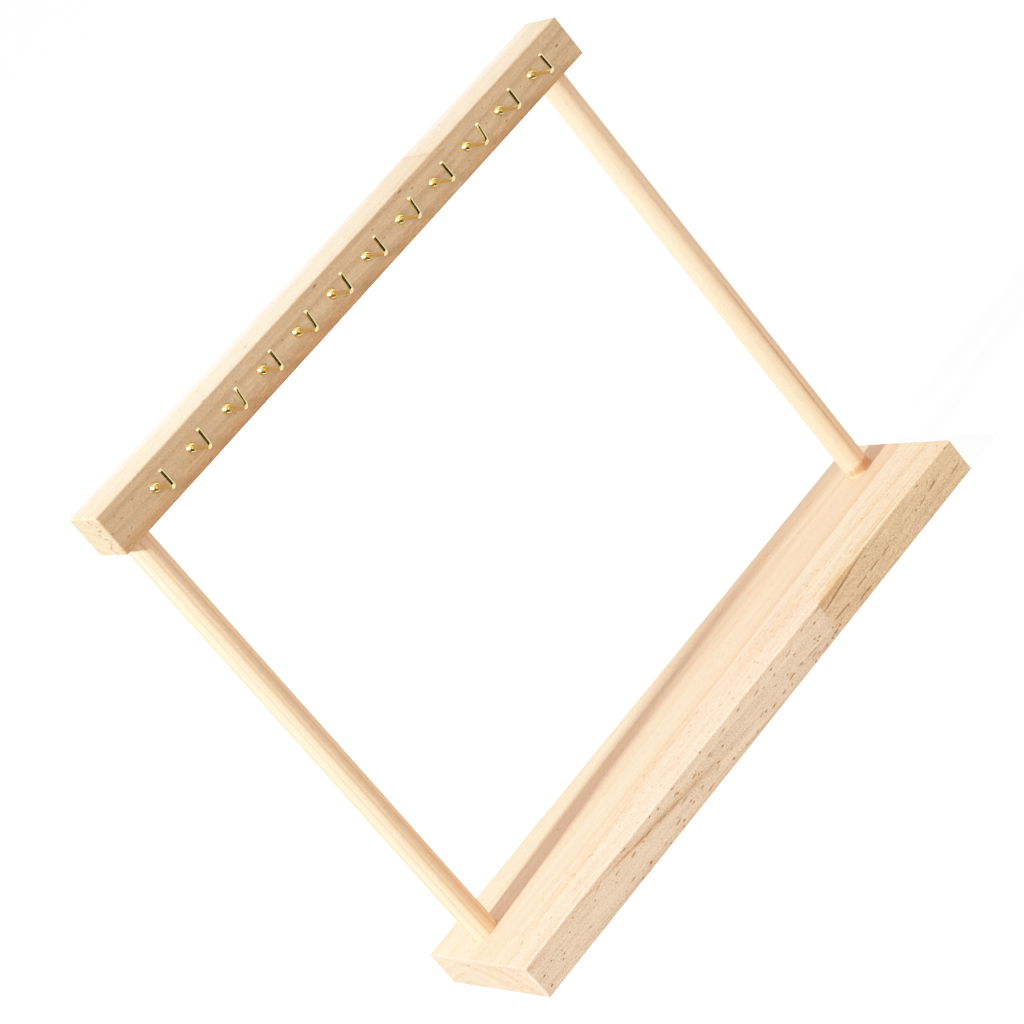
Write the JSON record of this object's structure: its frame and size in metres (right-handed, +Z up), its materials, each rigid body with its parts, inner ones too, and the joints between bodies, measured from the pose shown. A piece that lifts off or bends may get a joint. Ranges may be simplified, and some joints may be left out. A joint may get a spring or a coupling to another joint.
{
  "type": "eyeglass display rack",
  "caption": "Table-top wooden display rack: a board base, dowel posts and a crossbar with a row of square brass screw hooks that hold eyewear, cords or chains.",
  "frame": {"origin": "middle of the board's underside, on the surface it stands on", "axes": "+X along the rack to the right as seen from the hook side, +Y from the hooks to the back, +Z up"},
  "size_m": [0.3, 0.073, 0.261],
  "materials": {
    "base_wood": "sanded, bare, edge-glued and finger-jointed pale softwood",
    "crossbar_wood": "sanded, bare, finger-jointed pale wood",
    "post_wood": "sanded dowel, bare",
    "hook_brass": "bright brass-plated wire",
    "collar_brass": "bright pressed brass"
  },
  "bodies": {
    "stand": {"base_front_stave_left": "base_wood", "base_front_stave_right": "base_wood", "base_middle_stave": "base_wood", "base_rear_stave": "base_wood", "left_post": "post_wood", "right_post": "post_wood", "crossbar_left": "crossbar_wood", "crossbar_right": "crossbar_wood"},
    "hook_01": {"hook_01": "hook_brass", "hook_collar_01": "collar_brass"},
    "hook_02": {"hook_02": "hook_brass", "hook_collar_02": "collar_brass"},
    "hook_03": {"hook_03": "hook_brass", "hook_collar_03": "collar_brass"},
    "hook_04": {"hook_04": "hook_brass", "hook_collar_04": "collar_brass"},
    "hook_05": {"hook_05": "hook_brass", "hook_collar_05": "collar_brass"},
    "hook_06": {"hook_06": "hook_brass", "hook_collar_06": "collar_brass"},
    "hook_07": {"hook_07": "hook_brass", "hook_collar_07": "collar_brass"},
    "hook_08": {"hook_08": "hook_brass", "hook_collar_08": "collar_brass"},
    "hook_09": {"hook_09": "hook_brass", "hook_collar_09": "collar_brass"},
    "hook_10": {"hook_10": "hook_brass", "hook_collar_10": "collar_brass"},
    "hook_11": {"hook_11": "hook_brass", "hook_collar_11": "collar_brass"},
    "hook_12": {"hook_12": "hook_brass", "hook_collar_12": "collar_brass"}
  },
  "joints": [
    {"name": "hook_01_turn", "type": "hinge", "parent": "stand", "child": "hook_01", "pos_m": [-0.1192, -0.0025, 0.2515], "axis": [0, -1, 0], "range_deg": [-90, 90]},
    {"name": "hook_02_turn", "type": "hinge", "parent": "stand", "child": "hook_02", "pos_m": [-0.0974, -0.0025, 0.2515], "axis": [0, -1, 0], "range_deg": [-90, 90]},
    {"name": "hook_03_turn", "type": "hinge", "parent": "stand", "child": "hook_03", "pos_m": [-0.0756, -0.0025, 0.2515], "axis": [0, -1, 0], "range_deg": [-90, 90]},
    {"name": "hook_04_turn", "type": "hinge", "parent": "stand", "child": "hook_04", "pos_m": [-0.0538, -0.0025, 0.2515], "axis": [0, -1, 0], "range_deg": [-90, 90]},
    {"name": "hook_05_turn", "type": "hinge", "parent": "stand", "child": "hook_05", "pos_m": [-0.032, -0.0025, 0.2515], "axis": [0, -1, 0], "range_deg": [-90, 90]},
    {"name": "hook_06_turn", "type": "hinge", "parent": "stand", "child": "hook_06", "pos_m": [-0.0102, -0.0025, 0.2515], "axis": [0, -1, 0], "range_deg": [-90, 90]},
    {"name": "hook_07_turn", "type": "hinge", "parent": "stand", "child": "hook_07", "pos_m": [0.0116, -0.0025, 0.2515], "axis": [0, -1, 0], "range_deg": [-90, 90]},
    {"name": "hook_08_turn", "type": "hinge", "parent": "stand", "child": "hook_08", "pos_m": [0.0334, -0.0025, 0.2515], "axis": [0, -1, 0], "range_deg": [-90, 90]},
    {"name": "hook_09_turn", "type": "hinge", "parent": "stand", "child": "hook_09", "pos_m": [0.0552, -0.0025, 0.2515], "axis": [0, -1, 0], "range_deg": [-90, 90]},
    {"name": "hook_10_turn", "type": "hinge", "parent": "stand", "child": "hook_10", "pos_m": [0.077, -0.0025, 0.2515], "axis": [0, -1, 0], "range_deg": [-90, 90]},
    {"name": "hook_11_turn", "type": "hinge", "parent": "stand", "child": "hook_11", "pos_m": [0.0988, -0.0025, 0.2515], "axis": [0, -1, 0], "range_deg": [-90, 90]},
    {"name": "hook_12_turn", "type": "hinge", "parent": "stand", "child": "hook_12", "pos_m": [0.1206, -0.0025, 0.2515], "axis": [0, -1, 0], "range_deg": [-90, 90]}
  ]
}
